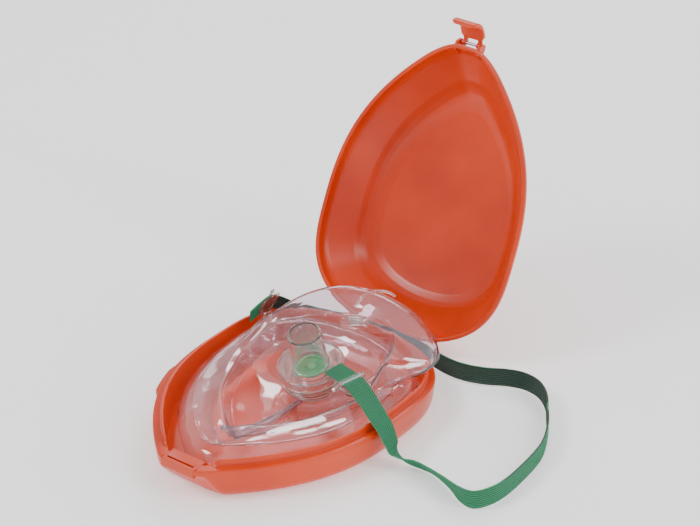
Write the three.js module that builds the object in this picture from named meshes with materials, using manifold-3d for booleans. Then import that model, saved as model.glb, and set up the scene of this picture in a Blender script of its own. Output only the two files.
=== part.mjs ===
import * as THREE from "three";
import { mergeVertices } from "three/addons/utils/BufferGeometryUtils.js";
import Module from "manifold-3d";

// Resuscitation mask with one-way valve in its hinged carrying case, lid open. Millimetres, +Z up.
// Origin: centre of the tray's flat underside. The latch end points to -Y, the hinge is at +Y.

// Case outline: a teardrop, round at the hinge end and drawn in to a short flat at the latch end.
const caseLength = 150;
const caseHalfWidth = 58;
const widestShare = 0.37; // of the length, from the hinge end
const chinPower = 3.2;
const sidePower = 2.5;
const tipHalfWidth = 10.6;

// Tray and lid.
const rimHeight = 17.5;
const wall = 2.0;
const tongueRise = 3.3;
const tongueInset = 3.5;
const lidRise = 29;
const lidGap = 0.3;
const tipLift = 10.5; // finger recess under the latch end
const tipLiftStart = -58;
const tipLiftLength = 12;
const tipLiftHalfWidth = 12;
const trayCorner = 2.2; // rounding of the outline's tip
const lidCorner = 8;
const lidInset = 0.8; // the lid's rim stands in from the tray's
const openAngle = THREE.MathUtils.degToRad(116);

// Hinge and latch.
const hingePin = { y: 76.6, z: rimHeight - 8, radius: 1.4, halfLength: 15 };
const knuckleRadius = 3.1;
const knuckleSplit = 6;
const latchPin = { y: -75.7, z: rimHeight + 5, radius: 0.8, halfLength: 7.4 };
const latchOpenAngle = THREE.MathUtils.degToRad(54);
const latchHalfWidth = 5.4;
const latchThickness = 1.6;

// Mask: an inflated cuff lying in the tray, raised at the hinge end, with its dome pushed in.
const cuff = { noseY: -52, chinY: 60.4, halfWidth: 43.2, noseHalfWidth: 3, across: 8.4, up: 7, floorGap: 0.4 };
const cuffRise = { from: -20, to: 60, height: 3.6 };
const domeWall = 1.5;

// Valve: its axis leans towards the latch end.
const valveLean = THREE.MathUtils.degToRad(14);
const valveSeat = new THREE.Vector3(0, 23.4, 20.6);
const portRadius = 12.4;
const portBore = 11.2;
const strapWidth = 10;
const strapThickness = 1.1;

const clearPvc = { color: 0xe9e6ee, roughness: 0.12, metalness: 0 };
const clearRigid = { color: 0xf0eeee, roughness: 0.06, metalness: 0 };
const orangeShell = { color: 0xf4551a, roughness: 0.3, metalness: 0 };
const greenSilicone = { color: 0x3f8f5a, roughness: 0.45, metalness: 0 };
const greenElastic = { color: 0x2f8f63, roughness: 0.85, metalness: 0 };
const steel = { color: 0xb9bcc0, roughness: 0.35, metalness: 1 };

const wasm = await Module();
wasm.setup();

const smooth = (from, to, value) => THREE.MathUtils.smoothstep(value, from, to);
const vec = (x, y, z) => new THREE.Vector3(x, y, z);

// ---------- mesh helpers ----------

// Triangles on shared vertices, turned so that the faces point out.
function closedGeometry(vertices, triangles) {
  let volume = 0;
  for (const [a, b, c] of triangles) {
    volume += vertices[a].dot(vec(0, 0, 0).crossVectors(vertices[b], vertices[c]));
  }
  const turned = volume < 0 ? triangles.map(([a, b, c]) => [a, c, b]) : triangles;
  const geometry = new THREE.BufferGeometry();
  const positions = new Float32Array(vertices.flatMap((v) => [v.x, v.y, v.z]));
  geometry.setAttribute("position", new THREE.BufferAttribute(positions, 3));
  geometry.setIndex(turned.flat());
  return geometry;
}

// A skin over successive rings of equal count. Its ends are closed by fans, or joined to each other.
function loftRings(rings, joined = false) {
  const count = rings[0].length;
  const vertices = rings.flat();
  const triangles = [];
  const spans = joined ? rings.length : rings.length - 1;
  for (let r = 0; r < spans; r++) {
    const low = r * count;
    const high = ((r + 1) % rings.length) * count;
    for (let i = 0; i < count; i++) {
      const j = (i + 1) % count;
      triangles.push([low + i, low + j, high + j], [low + i, high + j, high + i]);
    }
  }
  if (!joined) {
    for (const [ring, flip] of [[0, false], [rings.length - 1, true]]) {
      vertices.push(new THREE.Box3().setFromPoints(rings[ring]).getCenter(vec(0, 0, 0)));
      const centre = vertices.length - 1;
      for (let i = 0; i < count; i++) {
        const a = ring * count + i;
        const b = ring * count + ((i + 1) % count);
        triangles.push(flip ? [a, b, centre] : [b, a, centre]);
      }
    }
  }
  return closedGeometry(vertices, triangles);
}

function toSolid(geometry) {
  const bare = geometry.clone();
  bare.deleteAttribute("normal");
  bare.deleteAttribute("uv");
  const merged = mergeVertices(bare, 1e-4);
  return new wasm.Manifold(new wasm.Mesh({
    numProp: 3,
    vertProperties: new Float32Array(merged.attributes.position.array),
    triVerts: new Uint32Array(merged.index.array),
  }));
}

function fromSolid(solid) {
  const mesh = solid.getMesh();
  const geometry = new THREE.BufferGeometry();
  geometry.setAttribute("position", new THREE.BufferAttribute(new Float32Array(mesh.vertProperties), 3));
  geometry.setIndex(Array.from(mesh.triVerts));
  return geometry;
}

function joinAndCut(base, added, removed = []) {
  let solid = toSolid(base);
  added.forEach((geometry) => (solid = solid.add(toSolid(geometry))));
  removed.forEach((geometry) => (solid = solid.subtract(toSolid(geometry))));
  return fromSolid(solid);
}

function boxBetween(low, high) {
  const size = high.map((value, k) => value - low[k]);
  const box = new THREE.BoxGeometry(...size);
  return box.translate(...low.map((value, k) => value + size[k] / 2));
}

// A round bar along X.
function barAlongX(radius, fromX, toX, y, z, sides = 20) {
  const bar = new THREE.CylinderGeometry(radius, radius, toX - fromX, sides);
  return bar.rotateZ(Math.PI / 2).translate((fromX + toX) / 2, y, z);
}

// A turned piece on +Z from a closed profile of [radius, height], listed anticlockwise.
function turned(profile, sides = 32) {
  const points = [...profile, profile[0]].map(([r, h]) => new THREE.Vector2(r, h));
  return new THREE.LatheGeometry(points, sides).rotateX(Math.PI / 2);
}

// An outline in the Y-Z plane, drawn out along X.
function plateAcross(outline, fromX, toX) {
  const shape = new THREE.Shape(outline.map(([y, z]) => new THREE.Vector2(y, z)));
  const plate = new THREE.ExtrudeGeometry(shape, { depth: toX - fromX, bevelEnabled: false });
  plate.applyMatrix4(new THREE.Matrix4().makeBasis(vec(0, 1, 0), vec(0, 0, 1), vec(1, 0, 0)));
  return plate.translate(fromX, 0, 0);
}

function named(name, geometry, finish) {
  const mesh = new THREE.Mesh(geometry, new THREE.MeshStandardMaterial(finish));
  mesh.name = name;
  return mesh;
}

// ---------- outlines ----------

// Half width of a teardrop at a share of its length from the round end.
function teardropHalfWidth(share, halfWidth, endHalfWidth) {
  if (share < widestShare) {
    return halfWidth * Math.sqrt(1 - ((widestShare - share) / widestShare) ** chinPower);
  }
  const fall = ((share - widestShare) / (1 - widestShare)) ** sidePower;
  return endHalfWidth + (halfWidth - endHalfWidth) * (1 - fall);
}

// Closed teardrop outline: down the +X side from the round end, and back up the other. The corner
// at the narrow end is rounded from the last point a corner's length before it.
function teardrop(roundY, narrowY, halfWidth, endHalfWidth, steps, corner = 0) {
  const right = [];
  for (let k = 0; k <= steps; k++) {
    const share = (1 - Math.cos((Math.PI * k) / steps)) / 2;
    const y = roundY + (narrowY - roundY) * share;
    if (y < narrowY + corner) break;
    right.push(new THREE.Vector2(teardropHalfWidth(share, halfWidth, endHalfWidth), y));
  }
  if (corner) {
    const bend = new THREE.QuadraticBezierCurve(right[right.length - 1].clone(),
      new THREE.Vector2(endHalfWidth, narrowY), new THREE.Vector2(endHalfWidth - Math.min(corner, 7), narrowY));
    right.push(...bend.getPoints(5).slice(1));
  }
  const left = right.slice(1).reverse().map((p) => new THREE.Vector2(-p.x, p.y));
  return [...right, ...left];
}

// The outline moved in by a distance: along its mitres at first, then drawn in towards its middle.
const mitreLimit = 7;
const outlineMiddle = new THREE.Vector2(0, 14);

function inset(outline, distance) {
  if (distance <= mitreLimit) return mitred(outline, distance);
  const share = (distance - mitreLimit) / (caseHalfWidth - mitreLimit);
  return mitred(outline, mitreLimit).map((p) => p.lerp(outlineMiddle, share));
}

function mitred(outline, distance) {
  const count = outline.length;
  const normals = outline.map((p, i) => {
    const edge = outline[(i + 1) % count].clone().sub(p).normalize();
    return new THREE.Vector2(edge.y, -edge.x);
  });
  return outline.map((p, i) => {
    const before = normals[(i + count - 1) % count];
    const after = normals[i];
    const reach = distance / (1 + before.dot(after));
    return p.clone().addScaledVector(before.clone().add(after), reach);
  });
}

const trayOutline = teardrop(caseLength / 2, -caseLength / 2, caseHalfWidth, tipHalfWidth, 22, trayCorner);
const lidOutline = teardrop(caseLength / 2, -caseLength / 2, caseHalfWidth, tipHalfWidth, 22, lidCorner);

// A shell from a profile of [inset, height], closed over its middle at both ends.
function caseShell(outline, profile, lift = (x, y, z) => z) {
  return loftRings(profile.map(([distance, z]) =>
    inset(outline, distance).map((p) => vec(p.x, p.y, lift(p.x, p.y, z)))));
}

// ---------- case ----------

function makeTray() {
  const floorLift = (x, y, z) => {
    const share = THREE.MathUtils.clamp((rimHeight - z) / (rimHeight - wall), 0, 1);
    const across = 1 - smooth(tipLiftHalfWidth, tipLiftHalfWidth + 8, Math.abs(x));
    return z + tipLift * smooth(0, tipLiftLength, tipLiftStart - y) * across * share;
  };
  const tongueTop = rimHeight + tongueRise;
  const shell = caseShell(trayOutline, [
    [24, 0], [14, 0], [8.5, 0], [5, 0.9], [2.6, 3], [1.3, 6.2], [0.4, 11.5], [0, rimHeight - 3],
    [0, rimHeight], [tongueInset, rimHeight], [tongueInset + 0.2, tongueTop],
    [tongueInset + 1.6, tongueTop], [5.7, 13], [6.6, 6], [8.2, 3.6], [11, wall], [16, wall], [24, wall],
  ], floorLift);
  const tip = -caseLength / 2;
  const block = plateAcross([
    [tip + 0.6, rimHeight - 4.5], [tip + 12, rimHeight - 4.5], [tip + 9, rimHeight], [tip, rimHeight],
  ], -9.5, 9.5);
  const slot = boxBetween([-7.8, tip + 2.1, rimHeight - 2.6], [7.8, tip + 3.2, rimHeight + 1]);
  const wipe = boxBetween([-17, tip + 1.2, rimHeight], [17, tip + 9.2, tongueTop + 1]);
  const { y, z } = hingePin;
  const hub = barAlongX(knuckleRadius, -knuckleSplit, knuckleSplit, y, z);
  const web = boxBetween([-knuckleSplit, y - 4.5, z - 2.6], [knuckleSplit, y, z + 2.6]);
  const lidSweep = [-1, 1].map((side) => barAlongX(
    knuckleRadius + 0.5, side > 0 ? knuckleSplit + 0.05 : -hingePin.halfLength - 1,
    side > 0 ? hingePin.halfLength + 1 : -knuckleSplit - 0.05, y, z));
  const bore = barAlongX(hingePin.radius + 0.1, -knuckleSplit - 1, knuckleSplit + 1, y, z);
  return joinAndCut(shell, [block, hub, web, sideTab()], [wipe, slot, ...lidSweep, bore]);
}

// The finger tab low on the rim, on the -X side.
function sideTab() {
  const stretch = (distance) => inset(trayOutline, distance).filter((p, i) =>
    trayOutline[i].x < 0 && trayOutline[i].y > -37 && trayOutline[i].y < -7);
  const ring = (z, out) => [...stretch(-out), ...stretch(0.8).reverse()].map((p) => vec(p.x, p.y, z));
  return loftRings([ring(rimHeight - 4.6, 1.6), ring(rimHeight - 1.2, 2.2)]);
}

function makeLid() {
  const base = rimHeight + lidGap;
  const top = rimHeight + lidRise;
  const shell = caseShell(lidOutline, [
    [30, top], [22, top - 1.5], [17, top - 3.8], [14, top - 6.8], [2.6, base + 5], [1, base + 2.6],
    [lidInset, base + 1.8], [lidInset, base], [3, base], [3.1, base + 4], [4.6, base + 6.2],
    [15.2, top - 8.6], [18.2, top - 5.6], [23, top - 3.4], [30, top - wall],
  ].reverse());
  const { y, z, halfLength } = hingePin;
  const arms = [-1, 1].flatMap((side) => {
    const low = side > 0 ? knuckleSplit + 0.4 : -halfLength + 0.6;
    const high = side > 0 ? halfLength - 0.6 : -knuckleSplit - 0.4;
    return [
      barAlongX(knuckleRadius, low, high, y, z),
      plateAcross([
        [y - 0.9, z], [y + knuckleRadius, z], [y + knuckleRadius - 0.6, base + 2], [y - 3.4, base + 5.5],
        [y - 4.4, base + 4.4], [y - 3.4, base + 0.5], [y - 0.9, base + 0.2],
      ], low, high),
    ];
  });
  const hingeBore = barAlongX(hingePin.radius + 0.1, -halfLength - 1, halfLength + 1, y, z);
  const ears = [-1, 1].map((side) => {
    const span = [latchHalfWidth + 0.35, latchHalfWidth + 2].map((x) => side * x).sort((a, b) => a - b);
    return plateAcross([
      [-caseLength / 2 + 4.2, base + 0.8], [-caseLength / 2 + 5.6, base + 5.4],
      [latchPin.y + 1, latchPin.z + 1.6], [latchPin.y - 1.2, latchPin.z + 1.2],
      [latchPin.y - 1.5, latchPin.z - 0.8], [latchPin.y + 0.2, base + 0.8],
    ], ...span);
  });
  const latchBore = barAlongX(latchPin.radius + 0.1, -12, 12, latchPin.y, latchPin.z, 14);
  return joinAndCut(shell, [...arms, ...ears], [hingeBore, latchBore]);
}

// Middle line of the latch's plate, closed, as [y, z] from its pin: down past the tip and in under it.
const latchLine = [
  [-0.9, 0.7], [-1.4, -1.5], [-1.6, -4.5], [-1.6, -8], [-1.2, -10.7], [-0.1, -12.6], [1.7, -13.6], [3.9, -13.7],
  [6.3, -13.1],
];

function makeLatch() {
  const line = latchLine.map(([y, z]) => new THREE.Vector2(latchPin.y + y, latchPin.z + z));
  const side = (distance) => line.map((p, i) => {
    const along = line[Math.min(i + 1, line.length - 1)].clone().sub(line[Math.max(i - 1, 0)]).normalize();
    return [p.x - along.y * distance, p.y + along.x * distance];
  });
  const outline = [...side(latchThickness / 2), ...side(-latchThickness / 2).reverse()];
  const plate = plateAcross(outline, -latchHalfWidth, latchHalfWidth);
  const { y, z } = latchPin;
  const window = boxBetween([-3.3, y - 4, z - 4], [3.3, y + 3, z + 3]);
  const eyes = [-1, 1].map((way) => {
    const span = [latchHalfWidth - 2.1, latchHalfWidth].map((x) => way * x).sort((a, b) => a - b);
    return barAlongX(1.6, ...span, y, z, 18);
  });
  const bore = barAlongX(latchPin.radius + 0.1, -12, 12, y, z, 14);
  return joinAndCut(plate, eyes, [window, bore]);
}

// ---------- mask ----------

const cuffLift = (y) => cuffRise.height * smooth(cuffRise.from, cuffRise.to, y);
const cuffOutline = new THREE.CatmullRomCurve3(
  teardrop(cuff.chinY, cuff.noseY, cuff.halfWidth, cuff.noseHalfWidth, 9).map((p) => vec(p.x, p.y, 0)),
  true,
);
const cuffSteps = 48;
const cuffRing = cuffOutline.getSpacedPoints(cuffSteps).slice(0, cuffSteps);
const cuffCentreZ = (y) => wall + cuff.floorGap + cuff.up + cuffLift(y);

// Inward direction of the cuff's centre line at each step, level.
const cuffInward = cuffRing.map((p, i) => {
  const ahead = cuffRing[(i + 1) % cuffSteps];
  const behind = cuffRing[(i + cuffSteps - 1) % cuffSteps];
  const along = ahead.clone().sub(behind).normalize();
  return vec(along.y, -along.x, 0);
});

function makeCuff() {
  const sides = 14;
  const rings = cuffRing.map((p, i) => Array.from({ length: sides }, (_, k) => {
    const turn = (2 * Math.PI * k) / sides;
    const point = p.clone().addScaledVector(cuffInward[i], cuff.across * Math.cos(turn));
    return point.setZ(cuffCentreZ(p.y) + cuff.up * Math.sin(turn));
  }));
  return loftRings(rings, true);
}

// Valve axis and its directions, for the port and everything on it.
const valveUp = vec(0, -Math.sin(valveLean), Math.cos(valveLean));
const portFoot = valveSeat.clone().addScaledVector(valveUp, -14.6);

// Outer skin of the pushed-in dome, from the cuff over the fold and down its inside: [inward from
// the cuff's line, above the cuff's crown, outward push and rise of the lump at the hinge end, where
// along Y the push sets in].
const domeFold = [
  [-1.5, 1.9, 3, 0, 40], [1, 2.4, 9, 3, 26], [2.6, 3, 18, 8, 22], [4.4, 3.4, 21, 13, 22],
  [6.2, 3.4, 19, 14.4, 32], [8.4, 2.4, 14, 12, 40], [10.2, -0.8, 11, 8, 40], [12, -5, 6, 4, 40],
];
const farSidePush = 0.05; // the lump leans to +X
const noseDraw = 4.5; // the fold stands further in towards the latch end
const domeSink = [0.3, 0.6, 0.85];

function domeSkin() {
  const crown = (y) => cuffCentreZ(y) + cuff.up;
  const fold = domeFold.map(([inward, above, push, rise, start], r) => cuffRing.map((p, i) => {
    const draw = noseDraw * Math.min(1, r / 3) * (1 - smooth(-12, 22, p.y));
    const lean = farSidePush + (1 - farSidePush) * smooth(-45, 0, p.x);
    const outward = push * lean * smooth(start, start + 24, p.y);
    const lump = 0.45 * smooth(14, 36, p.y) + 0.55 * smooth(42, 60, p.y);
    const point = p.clone().addScaledVector(cuffInward[i], inward + draw - outward);
    return point.setZ(crown(p.y) + above + rise * lump);
  }));
  const last = fold[fold.length - 1];
  const port = last.map((p) => {
    const across = p.clone().sub(portFoot).setZ(0).normalize();
    const rise = across.clone().addScaledVector(valveUp, -across.dot(valveUp)).normalize();
    return portFoot.clone().addScaledVector(rise, portRadius - 0.5).addScaledVector(valveUp, 0.9);
  });
  const sink = domeSink.map((share) => last.map((p, i) => {
    const point = p.clone().lerp(port[i], share);
    return point.setZ(port[i].z + (p.z - port[i].z) * (1 - share) ** 1.7);
  }));
  return [...fold, ...sink, port];
}

// The skin moved by a distance against its own normal.
function thicken(skin, distance) {
  const count = skin[0].length;
  return skin.map((ring, r) => ring.map((p, i) => {
    const next = skin[Math.min(r + 1, skin.length - 1)][i];
    const previous = skin[Math.max(r - 1, 0)][i];
    const along = ring[(i + 1) % count].clone().sub(ring[(i + count - 1) % count]);
    const normal = next.clone().sub(previous).cross(along).normalize();
    return p.clone().addScaledVector(normal, distance);
  }));
}

function makeDome() {
  const skin = domeSkin();
  const inner = thicken(skin, domeWall).reverse();
  const sheet = loftRings([...skin, ...inner], true);
  const neck = onValveAxis(turned([[portBore, -14.6], [portRadius, -14.6], [portRadius, -9.8], [portBore, -9.8]]));
  return joinAndCut(sheet, [neck]);
}

// A piece drawn about +Z with its zero at the flap's seat, stood on the valve's leaning axis.
function onValveAxis(geometry) {
  return geometry.rotateX(valveLean).translate(valveSeat.x, valveSeat.y, valveSeat.z);
}

// ---------- valve ----------

function makeMouthpiece() {
  return onValveAxis(turned([
    [7.4, 0.1], [15.1, 0.1], [15.1, -3.4], [16.3, -3.4], [16.3, 1.1], [15.9, 1.5], [9.4, 1.5], [8.7, 2.2],
    [8.2, 20], [7.0, 20],
  ]));
}

function makeConnector() {
  return onValveAxis(turned([
    [9.6, -13.8], [10.9, -13.8], [10.95, -9.5], [14.9, -9.5], [15.3, -9.1], [15.3, -8.2], [14.7, -7.8],
    [14.7, -0.3], [13.4, -0.3], [13.4, -7.8], [9.2, -7.8], [9.2, -3.6], [8.0, -3.6], [8.0, -8.6], [9.6, -9.6],
  ]));
}

// Green spider that stops the flap: a ring with a cross.
function makeFlapStop() {
  const ring = turned([[6.1, -1.3], [8.4, -1.3], [8.4, -0.2], [6.1, -0.2]], 28);
  const bars = [boxBetween([-6.6, -0.7, -1.3], [6.6, 0.7, -0.2]), boxBetween([-0.7, -6.6, -1.3], [0.7, 6.6, -0.2])];
  return onValveAxis(joinAndCut(ring, bars));
}

function makeFlap() {
  return onValveAxis(new THREE.CylinderGeometry(7.2, 7.2, 0.6, 28).rotateX(Math.PI / 2).translate(0, 0, -1.9));
}

// ---------- inlet with its cap ----------

const inletFoot = vec(7.8, 57.8, 30.8);
const inletAxis = vec(-10.4, -9.1, 0.8).normalize();

function onInlet(geometry) {
  const turn = new THREE.Quaternion().setFromUnitVectors(vec(0, 0, 1), inletAxis);
  return geometry.applyQuaternion(turn).translate(inletFoot.x, inletFoot.y, inletFoot.z);
}

const makeInlet = () => onInlet(turned([[1.1, 0], [3, 0], [2.8, 0.8], [2.2, 1.8], [2, 8.4], [1.1, 8.4]], 20));
const makeInletCap = () => onInlet(turned([[2.3, 4], [4.3, 4], [4.4, 12], [3.9, 12.6], [0, 12.6], [0, 9], [2.3, 9]], 24));

// Tether arch from the cap's side over to the dome's fold.
const tetherRoute = [vec(3.3, 54.6, 38.5), vec(4.6, 57.6, 43.2), vec(8.2, 62.4, 45.6), vec(12.6, 67.5, 44.6), vec(15.4, 70.2, 42)];

function makeTether() {
  const section = new THREE.Shape();
  section.absarc(0, 0, 0.8, 0, 2 * Math.PI);
  const path = new THREE.CatmullRomCurve3(tetherRoute);
  return new THREE.ExtrudeGeometry(section, { steps: 12, curveSegments: 4, bevelEnabled: false, extrudePath: path });
}

// ---------- strap and its lugs ----------

// [place, direction of the strap's width].
const strapRoute = [
  [[13.6, 22.6, 24], [0.3, 0.95, 0.2]], [[22, 19.6, 25.2], [0.35, 0.93, 0.2]],
  [[32, 15.5, 26.2], [0.46, 0.87, 0.18]], [[40, 11, 26], [0.45, 0.88, 0.12]], [[48, 6.4, 25], [0.35, 0.93, 0]],
  [[54.5, 3, 23.2], [0.2, 0.98, 0]],
  [[60, 1.4, 19.6], [0.1, 0.99, 0]], [[63.2, 1.4, 13.6], [0.05, 0.85, -0.3]], [[65.4, 2, 8.6], [0, 0.7, -0.6]],
  [[69.6, 3.4, 5], [-0.1, 0.7, -0.7]], [[76.8, 4.6, 4.6], [0.2, 0.6, -0.75]], [[84, 4, 4.6], [0.2, 0.59, -0.78]],
  [[94.5, 0.2, 5.3], [0.15, 0.45, -0.88]], [[105, -4.2, 5.6], [0.05, 0.2, -1]], [[112.5, -4, 5.6], [0, 0.05, -1]],
  [[117, 3.2, 5.6], [0, 0, -1]], [[118.8, 12.9, 5.6], [0, 0, -1]], [[118.6, 26, 5.6], [0, 0, -1]],
  [[117.1, 41.6, 5.6], [0, 0, -1]], [[114.3, 52, 5.6], [0, 0, -1]], [[108.4, 64.3, 5.6], [0, 0, -1]],
  [[102.5, 73.4, 5.6], [0, 0, -1]], [[95.7, 83.2, 5.6], [0, 0, -1]], [[87.5, 90, 5.6], [0, 0, -1]],
  [[78.5, 92.2, 5.6], [0, 0, -1]], [[70, 89.6, 6], [0, 0, -1]], [[60, 83.6, 7.4], [0, 0, -1]],
  [[50, 77.2, 10.6], [0, 0, -1]], [[42, 75.6, 14], [0, 0, -1]], [[32, 80.4, 16], [0, 0, -1]],
  [[18, 85, 17], [0, 0, -1]], [[0, 87.4, 17.4], [0, 0, -1]], [[-16, 86, 17.4], [0, 0, -1]],
  [[-30, 80, 18], [0, 0.1, -1]], [[-39, 71, 21], [-0.25, 0, -0.95]], [[-43.4, 60, 25.2], [-0.6, 0.08, -0.78]],
  [[-43.9, 52, 27.8], [-0.66, 0.1, -0.74]], [[-44.2, 44, 28.6], [-0.66, 0.1, -0.74]], [[-45, 37, 27.2], [-0.66, 0.1, -0.74]],
];

function makeStrap() {
  const centre = new THREE.CatmullRomCurve3(strapRoute.map(([place]) => vec(...place)), false, "centripetal");
  const across = new THREE.CatmullRomCurve3(strapRoute.map(([, way]) => vec(...way)), false, "centripetal");
  const steps = 3 * (strapRoute.length - 1);
  const rings = Array.from({ length: steps + 1 }, (_, k) => {
    const place = centre.getPoint(k / steps);
    const along = centre.getTangent(k / steps);
    const width = across.getPoint(k / steps);
    width.addScaledVector(along, -width.dot(along)).normalize().multiplyScalar(strapWidth / 2);
    const depth = along.clone().cross(width).normalize().multiplyScalar(strapThickness / 2);
    return [[1, 1], [-1, 1], [-1, -1], [1, -1]].map(([a, b]) =>
      place.clone().addScaledVector(width, a).addScaledVector(depth, b));
  });
  return loftRings(rings);
}

// A lug at one of the route's places: a round-ended tab under the strap with a bar across over it.
function makeLug(step, facing) {
  const half = strapWidth / 2 + 1.6;
  const tab = new THREE.Shape();
  tab.moveTo(-3, -half);
  tab.absarc(1.5, 0, half, -Math.PI / 2, Math.PI / 2);
  tab.lineTo(-3, half);
  tab.closePath();
  const plate = new THREE.ExtrudeGeometry(tab, { depth: 1.3, bevelEnabled: false, curveSegments: 8 });
  plate.translate(-1.2, 0, -2.4);
  const arch = boxBetween([-3.8, -half, -2.2], [-1.6, half, 2.1]);
  const opening = boxBetween([-6, -half + 1.1, -1.1], [0, half - 1.1, 1]);
  const lug = joinAndCut(plate, [arch], [opening]);
  const along = vec(...strapRoute[step + 1][0]).sub(vec(...strapRoute[step - 1][0])).normalize();
  const [place, way] = strapRoute[step].map((values) => vec(...values));
  const across = way.addScaledVector(along, -way.dot(along)).normalize().multiplyScalar(facing);
  const basis = new THREE.Matrix4().makeBasis(along, across, along.clone().cross(across));
  return lug.applyMatrix4(basis.setPosition(place));
}

// ---------- assembly ----------

const resuscitationMask = new THREE.Group();

const lidGroup = new THREE.Group();
const lidHinge = new THREE.Group();
lidHinge.position.set(0, hingePin.y, hingePin.z);
lidHinge.rotation.x = -openAngle;
lidGroup.position.set(0, -hingePin.y, -hingePin.z);
lidHinge.add(lidGroup);
lidGroup.add(named("case_lid", makeLid(), orangeShell));
const latchHinge = new THREE.Group();
latchHinge.position.set(0, latchPin.y, latchPin.z);
latchHinge.rotation.x = -latchOpenAngle;
const latchBody = named("latch", makeLatch(), orangeShell);
latchBody.position.set(0, -latchPin.y, -latchPin.z);
latchHinge.add(latchBody);
lidGroup.add(latchHinge);
lidGroup.add(named("latch_pin", barAlongX(latchPin.radius, -latchPin.halfLength, latchPin.halfLength,
  latchPin.y, latchPin.z, 14), steel));

resuscitationMask.add(
  named("case_tray", makeTray(), orangeShell),
  named("hinge_pin", barAlongX(hingePin.radius, -hingePin.halfLength, hingePin.halfLength, hingePin.y, hingePin.z),
    steel),
  lidHinge,
  named("mask_cuff", makeCuff(), clearPvc),
  named("mask_dome", makeDome(), clearPvc),
  named("mouthpiece", makeMouthpiece(), clearRigid),
  named("valve_connector", makeConnector(), clearRigid),
  named("flap_stop", makeFlapStop(), greenSilicone),
  named("valve_flap", makeFlap(), greenSilicone),
  named("gas_inlet", makeInlet(), clearPvc),
  named("inlet_cap", makeInletCap(), clearPvc),
  named("cap_tether", makeTether(), clearPvc),
  named("near_strap_lug", makeLug(2, 1), clearPvc),
  named("far_strap_lug", makeLug(strapRoute.length - 3, -1), clearPvc),
  named("head_strap", makeStrap(), greenElastic),
);

export default resuscitationMask;
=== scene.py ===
import math

import bmesh
import bpy
from mathutils import Matrix, Vector, noise


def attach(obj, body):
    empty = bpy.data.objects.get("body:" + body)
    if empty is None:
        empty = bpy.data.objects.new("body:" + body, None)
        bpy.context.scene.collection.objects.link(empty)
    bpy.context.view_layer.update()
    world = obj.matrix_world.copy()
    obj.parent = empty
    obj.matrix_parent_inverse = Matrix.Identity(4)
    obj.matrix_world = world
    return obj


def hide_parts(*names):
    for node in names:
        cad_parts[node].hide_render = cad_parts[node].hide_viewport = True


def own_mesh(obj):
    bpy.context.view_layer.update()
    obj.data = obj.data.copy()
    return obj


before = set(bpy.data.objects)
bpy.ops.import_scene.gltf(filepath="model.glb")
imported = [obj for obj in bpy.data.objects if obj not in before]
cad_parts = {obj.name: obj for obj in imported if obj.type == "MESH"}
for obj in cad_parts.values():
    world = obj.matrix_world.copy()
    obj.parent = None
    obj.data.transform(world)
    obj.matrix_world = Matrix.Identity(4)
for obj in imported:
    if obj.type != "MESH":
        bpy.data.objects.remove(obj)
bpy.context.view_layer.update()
mm = 0.001

cameraData = bpy.data.cameras.new("camera")
cameraData.lens = 112.4
cameraData.sensor_width = 36.0
cameraData.clip_start = 0.01
camera = bpy.data.objects.new("camera", cameraData)
bpy.context.collection.objects.link(camera)
camera.location = (0.5452, -0.6751, 0.5765)
lookAt = Vector((0.0408, 0.0, 0.1007))
camera.rotation_euler = (lookAt - camera.location).to_track_quat("-Z", "Y").to_euler()
bpy.context.scene.camera = camera


# sRGB hex to linear RGBA.
def linear(hexCode):
    values = [int(hexCode[i:i + 2], 16) / 255 for i in (0, 2, 4)]
    return tuple(v / 12.92 if v <= 0.04045 else ((v + 0.055) / 1.055) ** 2.4 for v in values) + (1.0,)


def newMaterial(name):
    material = bpy.data.materials.new(name)
    material.use_nodes = True
    tree = material.node_tree
    tree.nodes.clear()
    output = tree.nodes.new("ShaderNodeOutputMaterial")
    return material, tree, output


# Adds a node, sets its inputs and properties, and links sockets given as (node, output name).
def put(tree, kind, inputs=None, **properties):
    node = tree.nodes.new(kind)
    for key, value in properties.items():
        setattr(node, key, value)
    for key, value in (inputs or {}).items():
        socket = node.inputs[key]
        if isinstance(value, tuple) and len(value) == 2 and isinstance(value[0], bpy.types.Node):
            tree.links.new(value[0].outputs[value[1]], socket)
        else:
            socket.default_value = value
    return node


def ramp(tree, source, stops):
    node = put(tree, "ShaderNodeValToRGB", {"Fac": source})
    elements = node.color_ramp.elements
    for extra in range(len(stops) - 2):
        elements.new(0.5)
    for element, (place, colour) in zip(elements, stops):
        element.position = place
        element.color = colour if isinstance(colour, tuple) else (colour, colour, colour, 1.0)
    return node


def finishWith(tree, output, shader, socket="BSDF"):
    tree.links.new(shader.outputs[socket], output.inputs["Surface"])


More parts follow.
